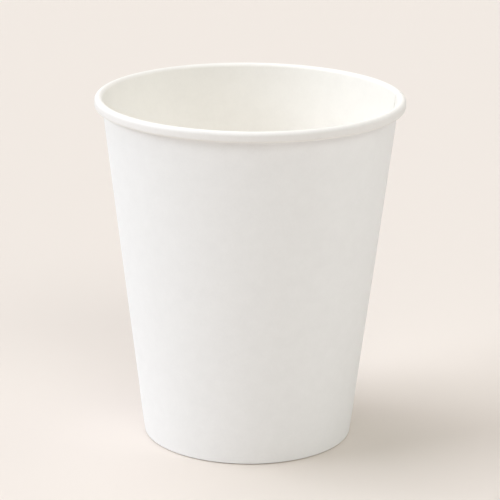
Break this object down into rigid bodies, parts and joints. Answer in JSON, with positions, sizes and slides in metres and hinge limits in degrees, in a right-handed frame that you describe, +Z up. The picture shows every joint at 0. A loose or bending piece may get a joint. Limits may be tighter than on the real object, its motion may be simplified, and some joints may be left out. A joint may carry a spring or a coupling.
{
  "type": "paper coffee cup",
  "caption": "Plain white single-wall paper cup for hot drinks, tapered, with a rolled rim and a recessed base.",
  "frame": {"origin": "centre of the circle that the cup stands on, at the level of the table", "axes": "+Z up along the cup's axis, towards the rim; the side seam lies on the +X side, 12 degrees towards +Y, and the picture looks along +Y"},
  "size_m": [0.08, 0.08, 0.0907],
  "materials": {
    "wall_paper": "bleached white board, matt uncoated outside, thin clear film inside",
    "base_paper": "bleached white board, thin clear film on the upper face, uncoated below"
  },
  "bodies": {
    "root": {"sidewall": "wall_paper", "base_disc": "base_paper"}
  },
  "joints": []
}
